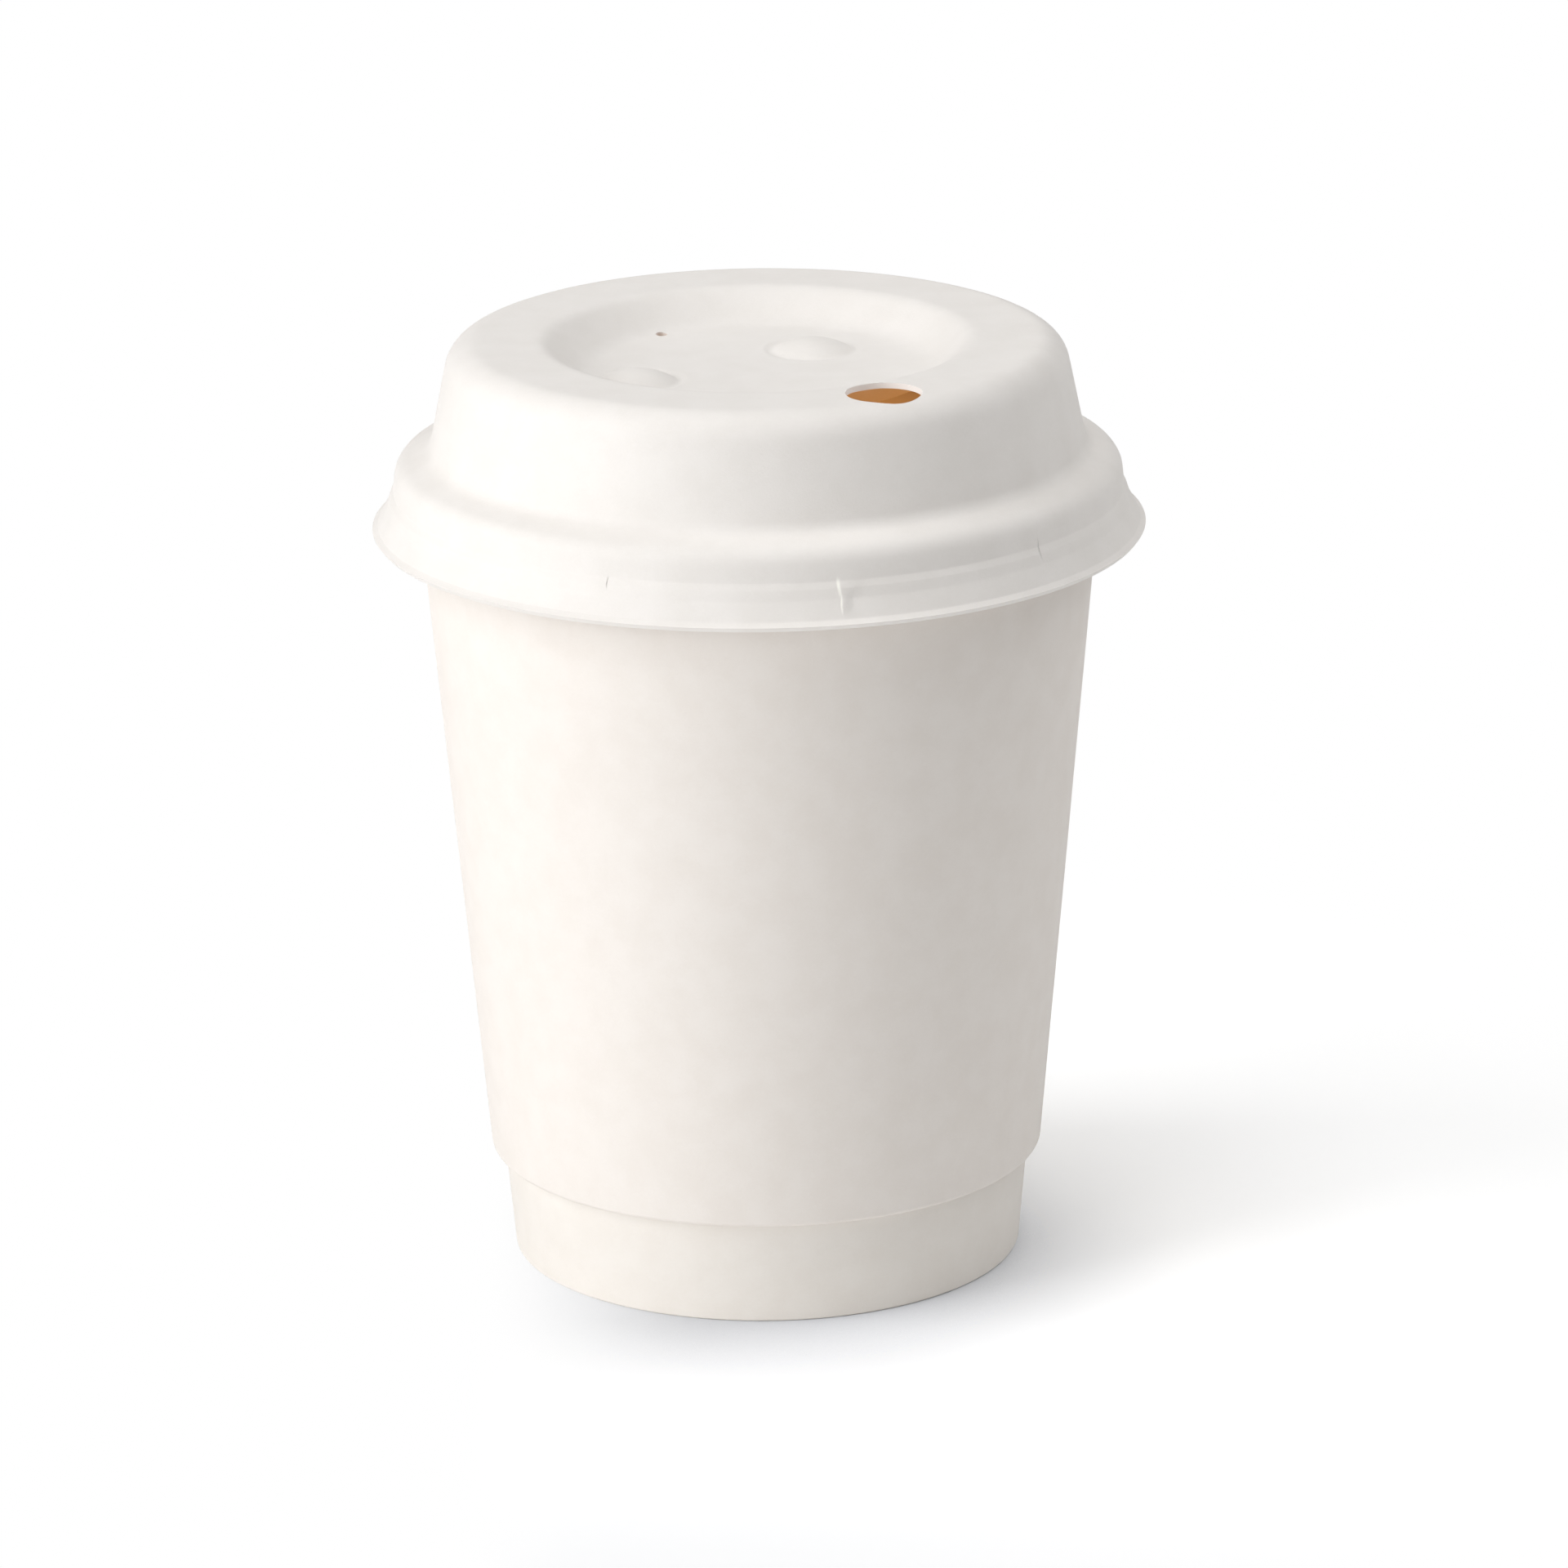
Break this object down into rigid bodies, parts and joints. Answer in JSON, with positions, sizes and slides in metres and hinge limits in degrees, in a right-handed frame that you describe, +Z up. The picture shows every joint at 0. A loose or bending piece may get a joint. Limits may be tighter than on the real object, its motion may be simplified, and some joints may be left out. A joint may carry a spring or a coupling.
{
  "type": "paper coffee cup with lid",
  "caption": "Double-wall paper take-away cup with a moulded pulp lid: tapered wall, rolled rim, turned-in foot, sunk lid top, drinking hole and vent.",
  "frame": {"origin": "centre of the foot ring, on the table", "axes": "+Z up along the cup's axis; the drinking hole is on the -Y side, 29 degrees round towards +X; the side seams are at +Y"},
  "size_m": [0.0862, 0.0862, 0.1056],
  "materials": {
    "cup_board": "matt white coated board",
    "wrap_board": "matt white uncoated board",
    "pulp": "smooth pressed white pulp"
  },
  "bodies": {
    "cup": {"inner_cup_wall": "cup_board", "bottom_disc": "cup_board", "outer_wrap": "wrap_board"},
    "lid_body": {"lid": "pulp"}
  },
  "joints": [
    {"name": "lid_lift", "type": "slide", "parent": "cup", "child": "lid_body", "axis": [0, 0, 1], "range_m": [0, 0.03]}
  ]
}
